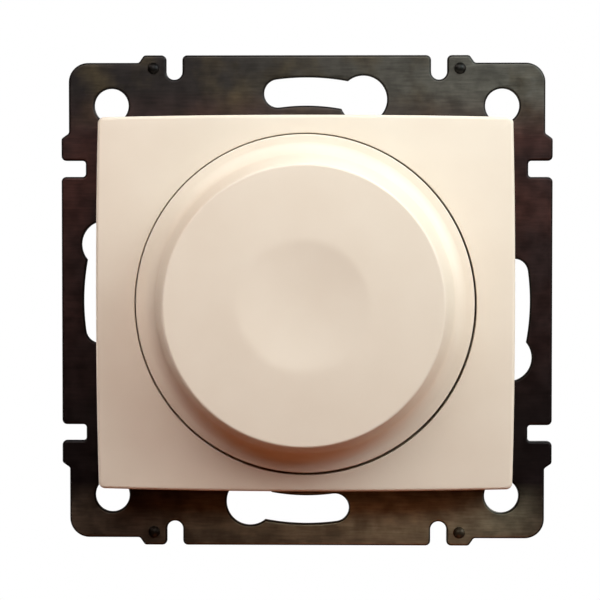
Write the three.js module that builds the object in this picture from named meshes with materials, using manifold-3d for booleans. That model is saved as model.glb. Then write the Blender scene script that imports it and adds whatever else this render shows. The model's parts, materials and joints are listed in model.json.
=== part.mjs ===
// A rotary dimmer insert for a flush wall box. In front are a steel mounting strap, a cover plate and
// a knob that turns and pushes. Behind the strap a housing holds the potentiometer, the push switch,
// the electronics and the screw terminals, and two claws spread to grip the box.
// Local axes: x right, y up, z out of the wall into the room. z = 0 is the back face of the strap.
// The whole group is turned at the end so that the front faces -Y and up is +Z. Sizes are millimetres.
import * as THREE from "three";
import { mergeVertices } from "three/addons/utils/BufferGeometryUtils.js";
import Module from "manifold-3d";

const wasm = await Module();
wasm.setup();

// ---------------------------------------------------------------- driving dimensions
const PLAY = 0.15; // clearance around a part that moves or fits into another
const REST = 0.1; // gap left between two faces that touch on the real object
const FINE = 56; // facets round the knob and its opening
const LARGE = 24; // facets round a disc or a bore of more than 10 mm
const MIDDLE = 20; // facets round a bore of 4 to 10 mm
const SMALL = 12; // facets round a screw hole
const BEYOND = 1; // how far a cutting tool runs past the face it cuts

const STRAP = {
  size: 70.6, // outside width and height, over the middle of each side
  thickness: 1.0,
  cornerInset: 1.08, // the corner portions lie this far inside the main edge
  cornerRadius: 2.8,
  tabEnd: 23.6, // where the main edge steps in to the corner portion
  stepRun: 0.7,
  notchAt: 19.0,
  notchWidth: 2.3,
  notchDepth: 3.5,
  mouthRadius: 0.6,
  bushingHole: 5.1,
  screwHole: 1.7,
};
const SLOT = {
  arcRadius: 30.1, // half of the 60 mm spacing of the box screws
  width: 4.03,
  narrowEnd: 7.8, // degrees from the slot's middle to the end of its narrow part
  keyAt: 15.7, // degrees from the slot's middle to the round hole
  keyRadius: 3.4,
};
const CORNER_HOLE = { radius: 2.45, at: 28.05 };
const PIP = { radius: 0.85, height: 0.5, x: 22.0, y: 33.4 };

const PLATE = {
  width: 59.1,
  height: 53.1,
  bow: 0.35, // how far each side bulges at its middle
  cornerRadius: 0.9,
  back: 1.2,
  front: 10.0,
  wall: 1.6,
  crown: 0.5, // how far the face falls away towards its left and right edges
  dishWall: 1.4,
  floorBack: 3.4,
  floorFront: 4.8,
};
const KNOB = {
  flangeRadius: 23.82,
  openingGap: 0.25,
  skirtBack: 6.6,
  face: 18.0,
  dimpleDepth: 0.62,
  dimpleRadius: 9.1,
  bossRadius: 5.2,
  bossBack: 10.2,
  bore: 3.15,
  boreEnd: 14.6,
  hollow: { outerRadius: 22.4, shoulder: [22.3, 8.6], neck: [19.0, 9.4], topRadius: 18.0, top: 15.5 },
};
const SHAFT = { radius: 3.0, front: 14.3, back: -9.9, neckRadius: 2.6, collarRadius: 3.6 };
const BUSHING = { radius: 4.8, bore: 3.05, front: 8.2, flangeRadius: 7.0, flangeBack: -2.5 };
const NUT = { radius: 8.0, hole: 5.0, height: 2.0 };
const WASHER = { radius: 8.5, thickness: 0.5 };

const HOUSING = {
  half: 25.0, // half the width and height across the flats
  chamferFrom: 13.5, // the corners are cut from here so that the body enters a round 60 mm box
  recessHalfWidth: 6.0,
  recessFloor: 19.6, // the claws sit in a recess in each side
  wall: 1.5,
  coverFront: -0.3,
  coverBack: -2.6,
  lipBack: -4.4, // the cover has a lip that drops inside the wall and closes the seam
  lipWall: 0.8,
  front: -2.8,
  back: -27.0,
};
const VENT = { x: [-8.6, -5.2, 5.2, 8.6], width: 1.4, z: [-22.0, -10.0] };
const MOULD_MARKS = {
  depth: 0.35,
  panel: { x: [-13, 13], y: [-1, 13] },
  pinRadius: 1.5,
  pins: [
    [-9, 18.5],
    [9, 18.5],
    [-14.5, -7.5],
    [14.5, -7.5],
  ],
};
const BOARD = {
  front: -20.0,
  thickness: 1.6,
  lowerEdge: -11.2,
  posts: [
    [-14, 10],
    [14, 10],
    [0, -9],
  ],
};
const BOSS = { radius: 2.8, bore: 1.5, front: -3.0 };
const HOUSING_SCREWS = {
  left: [-18.5, -12.5],
  right: [18.5, -12.5],
  top: [0, 21.3],
};

const POT = {
  radius: 8.5,
  front: -2.7,
  back: -8.2,
  rotorRadius: 6.9,
  rotorFront: -5.5,
  rotorBack: -7.2,
  tagPitch: 5.0,
  tag: { halfWidth: 0.5, y: [-9.5, -9.1] },
};
const WAFER = { front: -8.4, back: -9.5 };
const SWITCH = {
  half: 7.0,
  front: -9.7,
  back: -19.9,
  wall: 1.0,
  baseFront: -18.9,
  contactAt: 5.25,
  contactFront: -13.95,
  bridge: [-12.3, -11.9],
};

const TRIAC = { tabBack: 16.0, body: 4.4, tab: 1.3, halfWidth: 5.0, legPitch: 2.54, hole: -5.5 };
const HEAT_SINK = { x: [16.1, 17.5], halfWidth: 6.5 };
const FILM_CAPACITOR = { x: [-2.5, 10], y: [10.4, 16.8], top: -9 };
const TIMING_CAPACITOR = { x: [11.5, 17], y: [12.6, 15.6], top: -13.5 };
const RESISTOR = { radius: 1.1, length: 4.6, x: 12, y: 8.6 };
const DIODE = { radius: 0.9, length: 3.6, at: [7, 19.3] };
const CHOKE = { at: [-10.5, 16.0], radius: 5.4, core: 2.2, flange: 1.2, height: 11.5 };
const FUSE = { x: -14.0, z: -15.0, from: -9.8, to: 10.1, radius: 2.45, capLength: 5.0 };

const TERMINAL = {
  pitch: 11.0,
  y: -17.3,
  cageHalfWidth: 3.5,
  cageHalfDepth: 3.2,
  cageFront: -12.8,
  cageBack: -21.0,
  cageWall: 1.3,
  barFront: -16.5,
  barThickness: 1.0,
  screwHead: -25.7,
  wireHalfWidth: 2.5,
  wireHole: [-17.5, -12.6], // from the back edge to the front edge of each wire entry
};
const CLAW = { x: 25.6, thickness: 1.2, halfWidth: 4.5, back: -22.1, front: -8.5, screwAt: 22.6 };
const M3 = { shank: 1.35, head: 2.6, headHeight: 1.6 };

// ---------------------------------------------------------------- materials
function surface(color, roughness, metalness) {
  return new THREE.MeshStandardMaterial({ color, roughness, metalness });
}
const ivoryPlastic = () => surface("#e9dccb", 0.35, 0);
const strapSteel = () => surface("#4b443c", 0.5, 0.85);
const zincSteel = () => surface("#b4b6b3", 0.4, 1);
const brass = () => surface("#c2a05c", 0.35, 1);
const tinnedCopper = () => surface("#c9c8c0", 0.3, 1);
const housingPlastic = () => surface("#d8d5cc", 0.5, 0);
const blackPlastic = () => surface("#232325", 0.5, 0);
const boardLaminate = () => surface("#3c6b46", 0.5, 0);
const phenolic = () => surface("#6b4428", 0.6, 0);
const ferrite = () => surface("#35353a", 0.7, 0);
const enamelWire = () => surface("#a4552a", 0.35, 0.8);
const aluminium = () => surface("#b9bcc0", 0.45, 1);
const filmBox = () => surface("#c9a23a", 0.4, 0);
const resistorPaint = () => surface("#c8b48c", 0.5, 0);
const clearGlass = () => surface("#dfe8e6", 0.08, 0);
const springSteel = () => surface("#8f9296", 0.3, 1);

// ---------------------------------------------------------------- solids
// A three.js geometry as a closed solid that can be joined and cut.
function solidFrom(geometry) {
  const bare = geometry.index ? geometry.toNonIndexed() : geometry.clone();
  bare.deleteAttribute("normal");
  bare.deleteAttribute("uv");
  const merged = mergeVertices(bare, 1e-4);
  const vertProperties = merged.attributes.position.array;
  const triVerts = new Uint32Array(merged.index.array);
  const solid = new wasm.Manifold(new wasm.Mesh({ numProp: 3, vertProperties, triVerts }));
  if (solid.volume() > 0) return solid;
  triVerts.reverse();
  return new wasm.Manifold(new wasm.Mesh({ numProp: 3, vertProperties, triVerts }));
}

function geometryFrom(solid) {
  const mesh = solid.getMesh();
  const geometry = new THREE.BufferGeometry();
  geometry.setAttribute("position", new THREE.BufferAttribute(mesh.vertProperties, mesh.numProp));
  geometry.setIndex(new THREE.BufferAttribute(mesh.triVerts, 1));
  geometry.computeVertexNormals();
  return geometry;
}

const join = (...solids) => solids.reduce((whole, solid) => whole.add(solid));
const cut = (base, ...tools) => tools.reduce((left, tool) => left.subtract(tool), base);

// A box from one corner to the other, each axis given as [from, to].
function block(x, y, z) {
  const size = [x, y, z].map(([from, to]) => to - from);
  const middle = [x, y, z].map(([from, to]) => (from + to) / 2);
  return solidFrom(new THREE.BoxGeometry(...size).translate(...middle));
}

// A flat outline stood up between two heights.
function prism(shape, [from, to], curveSegments = 6) {
  const options = { depth: to - from, bevelEnabled: false, curveSegments };
  return solidFrom(new THREE.ExtrudeGeometry(shape, options).translate(0, 0, from));
}

// A round bar parallel to z.
function rod([x, y], radius, [from, to], facets = 14) {
  const bar = new THREE.CylinderGeometry(radius, radius, to - from, facets);
  return solidFrom(bar.rotateX(Math.PI / 2).translate(x, y, (from + to) / 2));
}

// A profile of [radius, z] points turned about the z axis.
function turned(profile, facets = 16) {
  const points = profile.map(([radius, z]) => new THREE.Vector2(radius, z));
  return solidFrom(new THREE.LatheGeometry(points, facets).rotateX(Math.PI / 2));
}

function polygon(points) {
  return new THREE.Shape(points.map(([x, y]) => new THREE.Vector2(x, y)));
}

// A range [from, to] stretched a little at both ends, for a tool that cuts right through.
const past = ([from, to]) => [from - BEYOND, to + BEYOND];
const layAlongX = (solid) => solid.rotate([0, 90, 0]);
const layAlongY = (solid) => solid.rotate([-90, 0, 0]);
const radians = (degrees) => (degrees * Math.PI) / 180;

const group = new THREE.Group();

function addPiece(name, solid, material) {
  const mesh = new THREE.Mesh(geometryFrom(solid), material());
  mesh.name = name;
  group.add(mesh);
}

// A slotted screw along z with its head's underside at z = 0 and its shank going down to -length.
function slottedScrew(length, headHeight = M3.headHeight, headRadius = M3.head) {
  const rim = 0.35;
  const body = turned([
    [0, -length],
    [M3.shank, -length],
    [M3.shank, 0],
    [headRadius, 0],
    [headRadius, headHeight - rim],
    [headRadius - rim, headHeight],
    [0, headHeight],
  ]);
  const slot = block([-0.4, 0.4], [-headRadius - 1, headRadius + 1], [headHeight - 0.8, headHeight + 1]);
  return cut(body, slot);
}

// ---------------------------------------------------------------- front pieces
function roundedSquare(half, radius) {
  const shape = new THREE.Shape();
  shape.absarc(half - radius, half - radius, radius, 0, Math.PI / 2);
  shape.absarc(radius - half, half - radius, radius, Math.PI / 2, Math.PI);
  shape.absarc(radius - half, radius - half, radius, Math.PI, Math.PI * 1.5);
  shape.absarc(half - radius, radius - half, radius, Math.PI * 1.5, Math.PI * 2);
  return shape;
}

// The notch in the middle of a side that opens upwards, with its mouth at y = 0.
function notchShape(endRadius) {
  const half = STRAP.notchWidth / 2;
  const mouth = STRAP.mouthRadius;
  const depth = -STRAP.notchDepth;
  const shape = new THREE.Shape();
  shape.moveTo(-half - mouth, 1);
  shape.lineTo(-half - mouth, 0);
  shape.quadraticCurveTo(-half, 0, -half, -mouth);
  shape.lineTo(-half, depth + endRadius);
  shape.quadraticCurveTo(-half, depth, endRadius - half, depth);
  shape.lineTo(half - endRadius, depth);
  shape.quadraticCurveTo(half, depth, half, depth + endRadius);
  shape.lineTo(half, -mouth);
  shape.quadraticCurveTo(half, 0, half + mouth, 0);
  shape.lineTo(half + mouth, 1);
  return shape;
}

// The keyhole slot above the centre: a narrow arc whose clockwise end opens into a round hole.
function keyholeSlot(z) {
  const half = SLOT.width / 2;
  const inner = SLOT.arcRadius - half;
  const outer = SLOT.arcRadius + half;
  const left = radians(90 + SLOT.narrowEnd);
  const right = radians(90 - SLOT.keyAt);
  const arc = new THREE.Shape();
  arc.absarc(0, 0, outer, right, left, false);
  arc.absarc(0, 0, inner, left, right, true);
  const onArc = (angle) => [SLOT.arcRadius * Math.cos(angle), SLOT.arcRadius * Math.sin(angle)];
  return join(prism(arc, z), rod(onArc(left), half, z, 16), rod(onArc(right), SLOT.keyRadius, z, LARGE));
}

function mountingStrap() {
  const half = STRAP.size / 2;
  const z = [0, STRAP.thickness];
  const through = past(z);
  const step = STRAP.tabEnd + STRAP.stepRun;
  const inset = half - STRAP.cornerInset;
  const bandShape = polygon([
    [-step, -inset],
    [-STRAP.tabEnd, -half],
    [STRAP.tabEnd, -half],
    [step, -inset],
    [step, inset],
    [STRAP.tabEnd, half],
    [-STRAP.tabEnd, half],
    [-step, inset],
  ]);
  const band = prism(bandShape, z);
  let strap = join(prism(roundedSquare(inset, STRAP.cornerRadius), z), band, band.rotate([0, 0, 90]));
  for (const side of [0, 1, 2, 3]) {
    const upright = side % 2 === 0;
    const endRadius = upright ? STRAP.notchWidth / 2 : STRAP.notchWidth / 5;
    const notch = prism(notchShape(endRadius), through, 3);
    const turn = [0, 0, -90 * side];
    const corner = rod([CORNER_HOLE.at, CORNER_HOLE.at], CORNER_HOLE.radius, through, MIDDLE);
    strap = cut(
      strap,
      notch.translate([STRAP.notchAt, half, 0]).rotate(turn),
      notch.translate([-STRAP.notchAt, half, 0]).rotate(turn),
      keyholeSlot(through).rotate(turn),
      corner.rotate(turn),
    );
  }
  const pip = turned([
    [0, STRAP.thickness - 0.2],
    [PIP.radius, STRAP.thickness - 0.2],
    [PIP.radius, STRAP.thickness],
    [PIP.radius * 0.7, STRAP.thickness + PIP.height * 0.8],
    [0, STRAP.thickness + PIP.height],
  ], 10);
  for (const x of [-PIP.x, PIP.x]) {
    for (const y of [-PIP.y, PIP.y]) strap = join(strap, pip.translate([x, y, 0]));
  }
  const screwHoles = [...Object.values(HOUSING_SCREWS), [-CLAW.screwAt, 0], [CLAW.screwAt, 0]];
  return cut(
    strap,
    rod([0, 0], STRAP.bushingHole, through, LARGE),
    ...screwHoles.map((at) => rod(at, STRAP.screwHole, through, SMALL)),
  );
}

// A rectangle with bowed sides and rounded corners.
function bowedRectangle(width, height, radius) {
  const x = width / 2 - PLATE.bow;
  const y = height / 2 - PLATE.bow;
  const bowedX = width / 2 + PLATE.bow;
  const bowedY = height / 2 + PLATE.bow;
  const shape = new THREE.Shape();
  shape.moveTo(x, radius - y);
  shape.quadraticCurveTo(bowedX, 0, x, y - radius);
  shape.quadraticCurveTo(x, y, x - radius, y);
  shape.quadraticCurveTo(0, bowedY, radius - x, y);
  shape.quadraticCurveTo(-x, y, -x, y - radius);
  shape.quadraticCurveTo(-bowedX, 0, -x, radius - y);
  shape.quadraticCurveTo(-x, -y, radius - x, -y);
  shape.quadraticCurveTo(0, -bowedY, x - radius, -y);
  shape.quadraticCurveTo(x, -y, x, radius - y);
  return shape;
}

// The space under the crowned face: an arched section carried from the bottom edge to the top edge.
function crownedSpace() {
  const reach = PLATE.width / 2 + 1;
  const arch = new THREE.Shape();
  arch.moveTo(-reach, 0);
  arch.lineTo(reach, 0);
  arch.lineTo(reach, PLATE.front - PLATE.crown);
  arch.quadraticCurveTo(0, PLATE.front + PLATE.crown, -reach, PLATE.front - PLATE.crown);
  const length = PLATE.height + 4;
  return prism(arch, [-length / 2, length / 2], 10).rotate([90, 0, 0]);
}

function coverPlate() {
  const opening = KNOB.flangeRadius + KNOB.openingGap;
  const dish = opening + PLATE.dishWall;
  const face = PLATE.front - PLATE.wall - PLATE.crown;
  const outer = bowedRectangle(PLATE.width, PLATE.height, PLATE.cornerRadius);
  const innerWidth = PLATE.width - 2 * PLATE.wall;
  const innerHeight = PLATE.height - 2 * PLATE.wall;
  const inner = bowedRectangle(innerWidth, innerHeight, PLATE.cornerRadius / 2);
  const shell = cut(
    prism(outer, [PLATE.back, PLATE.front + BEYOND]).intersect(crownedSpace()),
    prism(inner, [PLATE.back - BEYOND, face]),
  );
  const dishBlock = rod([0, 0], dish, [PLATE.floorBack, face + 0.5], FINE);
  return cut(
    join(shell, dishBlock),
    rod([0, 0], opening, [PLATE.floorFront, PLATE.front + BEYOND], FINE),
    rod([0, 0], BUSHING.radius + PLAY, past([PLATE.back, PLATE.floorFront]), MIDDLE),
  );
}

// Outside from the middle of the face to the edge of the flange, then the hollow behind it.
function knob() {
  const { hollow } = KNOB;
  return turned(
    [
      [0, KNOB.face - KNOB.dimpleDepth],
      [KNOB.dimpleRadius * 0.35, KNOB.face - KNOB.dimpleDepth * 0.88],
      [KNOB.dimpleRadius * 0.7, KNOB.face - KNOB.dimpleDepth * 0.51],
      [KNOB.dimpleRadius * 0.9, KNOB.face - KNOB.dimpleDepth * 0.19],
      [KNOB.dimpleRadius * 1.06, KNOB.face],
      [19.2, KNOB.face],
      [19.6, 17.8],
      [19.75, 17.3],
      [20.9, 12.5],
      [21.3, 11.4],
      [22.0, 10.6],
      [23.1, 10.22],
      [KNOB.flangeRadius - 0.2, 10.15],
      [KNOB.flangeRadius, 9.9],
      [KNOB.flangeRadius, KNOB.skirtBack],
      [hollow.outerRadius, KNOB.skirtBack],
      hollow.shoulder,
      hollow.neck,
      [hollow.topRadius, hollow.top],
      [KNOB.bossRadius, hollow.top],
      [KNOB.bossRadius, KNOB.bossBack],
      [KNOB.bore, KNOB.bossBack],
      [KNOB.bore, KNOB.boreEnd],
      [0, KNOB.boreEnd],
    ],
    FINE,
  );
}

// A bowed leaf that fills the space beside the flat of the shaft and grips the boss.
function knobClip() {
  const leaf = new THREE.Shape();
  leaf.moveTo(1.9, 10.5);
  leaf.quadraticCurveTo(2.5, 12.3, 1.9, 14.1);
  leaf.lineTo(2.2, 14.1);
  leaf.quadraticCurveTo(2.8, 12.3, 2.2, 10.5);
  return prism(leaf, [-1.3, 1.3], 5).rotate([90, 0, 0]).rotate([0, 0, 90]);
}

function controlShaft() {
  const collarFront = BUSHING.flangeBack - PLAY;
  const body = turned([
    [0, SHAFT.back],
    [SHAFT.neckRadius, SHAFT.back],
    [SHAFT.neckRadius, collarFront - 1.1],
    [SHAFT.collarRadius, collarFront - 1.1],
    [SHAFT.collarRadius, collarFront],
    [SHAFT.radius - PLAY, collarFront],
    [SHAFT.radius - PLAY, SHAFT.front - 0.4],
    [SHAFT.radius - PLAY - 0.4, SHAFT.front],
    [0, SHAFT.front],
  ], LARGE);
  const knobFlat = block([-4, 4], [1.5, 4], [KNOB.bossBack - 0.2, SHAFT.front + 1]);
  const rotorFlat = block([-4, 4], [1.6, 4], [SHAFT.back - 1, collarFront - 1.2]);
  return cut(body, knobFlat, rotorFlat);
}

function threadedBushing() {
  const thread = [];
  const pitch = 0.75;
  const turns = Math.floor((BUSHING.front - 0.6) / pitch);
  for (let turn = 0; turn < turns; turn += 1) {
    thread.push([BUSHING.radius, turn * pitch + 0.1]);
    thread.push([BUSHING.radius - 0.3, turn * pitch + 0.1 + pitch / 2]);
  }
  return turned([
    [BUSHING.bore, BUSHING.flangeBack],
    [BUSHING.flangeRadius, BUSHING.flangeBack],
    [BUSHING.flangeRadius, -REST],
    [BUSHING.radius, -REST],
    ...thread,
    [BUSHING.radius - 0.3, BUSHING.front],
    [BUSHING.bore, BUSHING.front],
    [BUSHING.bore, BUSHING.flangeBack],
  ], MIDDLE);
}

function hexNut(back) {
  const z = [back, back + NUT.height];
  return cut(rod([0, 0], NUT.radius, z, 6), rod([0, 0], NUT.hole, past(z), MIDDLE));
}

function plateWasher() {
  const z = [PLATE.floorFront + REST, PLATE.floorFront + REST + WASHER.thickness];
  return cut(rod([0, 0], WASHER.radius, z, LARGE), rod([0, 0], NUT.hole, past(z), MIDDLE));
}

function addFrontPieces() {
  addPiece("mounting_strap", mountingStrap(), strapSteel);
  addPiece("cover_plate", coverPlate(), ivoryPlastic);
  addPiece("knob", knob(), ivoryPlastic);
  addPiece("knob_clip", knobClip(), springSteel);
  addPiece("control_shaft", controlShaft(), zincSteel);
  addPiece("threaded_bushing", threadedBushing(), brass);
  addPiece("bushing_nut", hexNut(STRAP.thickness + REST), zincSteel);
  addPiece("plate_washer", plateWasher(), zincSteel);
  addPiece("plate_nut", hexNut(PLATE.floorFront + WASHER.thickness + 2 * REST), zincSteel);
}

// ---------------------------------------------------------------- housing
// The outline of the housing, moved in by an inset: a square with cut corners and two side recesses.
function housingShape(inset, recessInset = inset) {
  const half = HOUSING.half - inset;
  const chamfer = HOUSING.chamferFrom - inset * Math.tan(Math.PI / 8);
  const recess = HOUSING.recessHalfWidth + recessInset;
  const floor = HOUSING.recessFloor - recessInset;
  const right = [
    [chamfer, -half],
    [half, -chamfer],
    [half, -recess],
    [floor, -recess],
    [floor, recess],
    [half, recess],
    [half, chamfer],
    [chamfer, half],
  ];
  const left = right.map(([x, y]) => [-x, -y]);
  return polygon([...right, ...left]);
}

// The lip is left out beside the claw recesses and round the screw bosses, where there is no room.
function coverLip() {
  const z = [HOUSING.lipBack, HOUSING.coverBack + REST];
  const outside = HOUSING.wall + PLAY;
  const recess = HOUSING.recessHalfWidth + outside + HOUSING.lipWall;
  return cut(
    prism(housingShape(outside), z),
    prism(housingShape(outside + HOUSING.lipWall), past(z)),
    block(past([-HOUSING.half, HOUSING.half]), [-recess, recess], past(z)),
    ...Object.values(HOUSING_SCREWS).map((at) => rod(at, BOSS.radius + 2 * PLAY, past(z), LARGE)),
  );
}

function housingCover() {
  const plate = prism(housingShape(0), [HOUSING.coverBack, HOUSING.coverFront]);
  const through = past([HOUSING.coverBack, HOUSING.coverFront]);
  const clear = HEAT_SINK.halfWidth + 0.2;
  return cut(
    join(plate, coverLip()),
    rod([0, 0], BUSHING.flangeRadius + 0.4, through, LARGE),
    block([HEAT_SINK.x[0] - 0.2, HEAT_SINK.x[1] + 0.4], [-clear, clear], through),
    ...Object.values(HOUSING_SCREWS).map((at) => rod(at, STRAP.screwHole, through, SMALL)),
  );
}

// Slots in the upper wall that let the electronics cool.
function ventSlots() {
  const reach = HOUSING.half + BEYOND;
  const inside = HOUSING.half - HOUSING.wall - 0.2;
  return VENT.x.map((x) => block([x - VENT.width / 2, x + VENT.width / 2], [inside, reach], VENT.z));
}

// What the mould leaves on the back: a sunk panel for a label and the prints of the ejector pins.
function mouldMarks() {
  const { panel, depth, pinRadius } = MOULD_MARKS;
  const z = [HOUSING.back - BEYOND, HOUSING.back + depth];
  const prints = MOULD_MARKS.pins.map((at) => rod(at, pinRadius, z, SMALL));
  return [block(panel.x, panel.y, z), ...prints];
}

function rearHousing() {
  const wall = HOUSING.wall;
  const floor = HOUSING.back + wall;
  const shell = cut(
    prism(housingShape(0), [HOUSING.back, HOUSING.front]),
    prism(housingShape(wall), [floor, HOUSING.front + 1]),
  );
  const screwPlaces = Object.values(HOUSING_SCREWS);
  const bossBores = screwPlaces.map((at) => rod(at, BOSS.bore, [-12, BOSS.front + BEYOND], SMALL));
  const bosses = screwPlaces.map((at) => rod(at, BOSS.radius, [floor - 0.5, BOSS.front]));
  const boardBack = BOARD.front - BOARD.thickness - REST;
  const posts = BOARD.posts.map((at) => rod(at, 1.5, [floor - 0.5, boardBack], 10));
  const ribs = [-TERMINAL.pitch / 2, TERMINAL.pitch / 2].map((x) =>
    block([x - 0.5, x + 0.5], [-HOUSING.half + 0.5, -12.6], [floor - 0.5, -12]),
  );
  const terminals = [-TERMINAL.pitch, 0, TERMINAL.pitch];
  const { wireHalfWidth, wireHole } = TERMINAL;
  const wireEntries = terminals.map((x) =>
    block(
      [x - wireHalfWidth, x + wireHalfWidth],
      [-HOUSING.half - BEYOND, -HOUSING.half + wall + 0.2],
      wireHole,
    ),
  );
  const driverHoles = terminals.map((x) =>
    rod([x, TERMINAL.y], M3.head + 2 * PLAY, [HOUSING.back - 1, floor + 1], 16),
  );
  return cut(
    join(shell, ...bosses, ...posts, ...ribs),
    ...bossBores,
    ...wireEntries,
    ...driverHoles,
    ...ventSlots(),
    ...mouldMarks(),
  );
}

function addHousingScrews() {
  for (const [side, [x, y]] of Object.entries(HOUSING_SCREWS)) {
    const screw = slottedScrew(10).translate([x, y, STRAP.thickness + REST]);
    addPiece("housing_screw_" + side, screw, zincSteel);
  }
}

// ---------------------------------------------------------------- potentiometer and push switch
function potCase() {
  return cut(
    rod([0, 0], POT.radius, [POT.back, POT.front], LARGE),
    rod([0, 0], SHAFT.collarRadius + 0.4, [POT.back, POT.front + 1], MIDDLE),
    rod([0, 0], POT.rotorRadius + 0.4, [POT.back - 1, POT.rotorFront + 0.2], LARGE),
  );
}

// The hole in the rotor is D-shaped, so the shaft turns it and still slides through it.
function potRotor() {
  const through = [POT.rotorBack - 1, POT.rotorFront + 1];
  const round = rod([0, 0], SHAFT.neckRadius + PLAY, through, LARGE);
  const flat = block([-4, 4], [1.6 + PLAY, 5], through);
  return cut(rod([0, 0], POT.rotorRadius, [POT.rotorBack, POT.rotorFront], LARGE), cut(round, flat));
}

// A ring of spring metal under the rotor, with two fingers that reach down to the track.
function potWiper() {
  const z = [POT.rotorBack - 0.4, POT.rotorBack - REST];
  const ring = cut(rod([0, 0], 6.4, z, MIDDLE), rod([0, 0], 3.6, [z[0] - 1, z[1] + 1], MIDDLE));
  const fingers = [-1.2, 1.2].map((x) => block([x - 0.4, x + 0.4], [4.6, 5.4], [POT.back - REST, z[1]]));
  return join(ring, ...fingers);
}

function potWafer() {
  const z = [WAFER.back, WAFER.front];
  const body = join(rod([0, 0], POT.radius, z, LARGE), block([-6.2, 6.2], [-9.8, -5], z));
  return cut(body, rod([0, 0], SHAFT.neckRadius + 0.4, [WAFER.back - 1, WAFER.front + 1], MIDDLE));
}

function potTag(x) {
  const { halfWidth, y } = POT.tag;
  return block([x - halfWidth, x + halfWidth], y, [BOARD.front + REST, WAFER.back - REST]);
}

function switchCase() {
  const outer = SWITCH.half;
  const inner = outer - SWITCH.wall;
  return cut(
    block([-outer, outer], [-outer, outer], [SWITCH.baseFront + REST, SWITCH.front]),
    block([-inner, inner], [-inner, inner], [SWITCH.baseFront - 1, SWITCH.front - 1.2]),
    rod([0, 0], SHAFT.neckRadius + 0.4, [SWITCH.front - 2, SWITCH.front + 1], MIDDLE),
  );
}

function switchBase() {
  const half = SWITCH.half;
  const base = block([-half, half], [-half, half], [SWITCH.back, SWITCH.baseFront]);
  const slots = [-SWITCH.contactAt, SWITCH.contactAt].map((x) =>
    block([x - 0.65, x + 0.65], [-1.4, 1.4], past([SWITCH.back, SWITCH.baseFront])),
  );
  return cut(base, ...slots);
}

function switchPlunger() {
  const front = SHAFT.back - REST;
  return turned([
    [0, front - 6],
    [1.3, front - 6],
    [1.3, front - 3.6],
    [4.5, front - 3.6],
    [4.5, front - 2.4],
    [2.6, front - 2.4],
    [2.6, front],
    [0, front],
  ]);
}

// The sprung strip that rides on the plunger and joins the two fixed contacts when it is pushed.
function switchBridge() {
  const z = SWITCH.bridge;
  const strip = join(rod([0, 0], 4.3, z, MIDDLE), block([-5.7, 5.7], [-1.1, 1.1], z));
  return cut(strip, rod([0, 0], 2.75, past(z), 16));
}

function switchContact(x) {
  return block([x - 0.5, x + 0.5], [-1.2, 1.2], [BOARD.front + REST, SWITCH.contactFront]);
}

class Helix extends THREE.Curve {
  constructor(radius, from, to, turns) {
    super();
    Object.assign(this, { radius, from, to, turns });
  }

  getPoint(t, target = new THREE.Vector3()) {
    const angle = 2 * Math.PI * this.turns * t;
    const z = this.from + (this.to - this.from) * t;
    return target.set(this.radius * Math.cos(angle), this.radius * Math.sin(angle), z);
  }
}

function switchSpring() {
  const wire = 0.3;
  const section = new THREE.Shape().absarc(0, 0, wire, 0, 2 * Math.PI);
  const path = new Helix(2.2, SWITCH.baseFront + wire + REST, -13.6 - wire - REST, 5);
  const options = { steps: 55, curveSegments: 3, bevelEnabled: false, extrudePath: path };
  return solidFrom(new THREE.ExtrudeGeometry(section, options));
}

function addControls() {
  addPiece("pot_case", potCase(), blackPlastic);
  addPiece("pot_rotor", potRotor(), housingPlastic);
  addPiece("pot_wiper", potWiper(), springSteel);
  addPiece("pot_wafer", potWafer(), phenolic);
  addPiece("pot_tag_left", potTag(-POT.tagPitch), tinnedCopper);
  addPiece("pot_tag_middle", potTag(0), tinnedCopper);
  addPiece("pot_tag_right", potTag(POT.tagPitch), tinnedCopper);
  addPiece("switch_case", switchCase(), blackPlastic);
  addPiece("switch_base", switchBase(), blackPlastic);
  addPiece("switch_plunger", switchPlunger(), housingPlastic);
  addPiece("switch_bridge", switchBridge(), brass);
  addPiece("switch_contact_left", switchContact(-SWITCH.contactAt), brass);
  addPiece("switch_contact_right", switchContact(SWITCH.contactAt), brass);
  addPiece("switch_spring", switchSpring(), springSteel);
}

// ---------------------------------------------------------------- electronics
const boardTop = BOARD.front + REST;

function circuitBoard() {
  const z = [BOARD.front - BOARD.thickness, BOARD.front];
  const through = [z[0] - 1, z[1] + 1];
  const notches = Object.values(HOUSING_SCREWS).map((at) => rod(at, BOSS.radius + 0.3, through, 16));
  return cut(
    prism(housingShape(HOUSING.wall + 0.3), z),
    block([-30, 30], [-30, BOARD.lowerEdge], through),
    ...notches,
  );
}

function chokeCore() {
  const top = boardTop + CHOKE.height;
  return turned([
    [0, boardTop],
    [CHOKE.radius, boardTop],
    [CHOKE.radius, boardTop + CHOKE.flange],
    [CHOKE.core, boardTop + CHOKE.flange],
    [CHOKE.core, top - CHOKE.flange],
    [CHOKE.radius, top - CHOKE.flange],
    [CHOKE.radius, top],
    [0, top],
  ]).translate([...CHOKE.at, 0]);
}

// Each layer of wire shows as a ridge on the outside of the winding.
function chokeWinding() {
  const from = boardTop + CHOKE.flange + REST;
  const to = boardTop + CHOKE.height - CHOKE.flange - REST;
  const ridges = 9;
  const pitch = (to - from) / ridges;
  const outer = CHOKE.radius - 0.4;
  const profile = [[CHOKE.core + REST, from], [outer - 0.4, from]];
  for (let ridge = 0; ridge < ridges; ridge += 1) {
    profile.push([outer, from + (ridge + 0.5) * pitch]);
    profile.push([outer - 0.4, from + (ridge + 1) * pitch]);
  }
  profile.push([CHOKE.core + REST, to], [CHOKE.core + REST, from]);
  return turned(profile).translate([...CHOKE.at, 0]);
}

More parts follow.
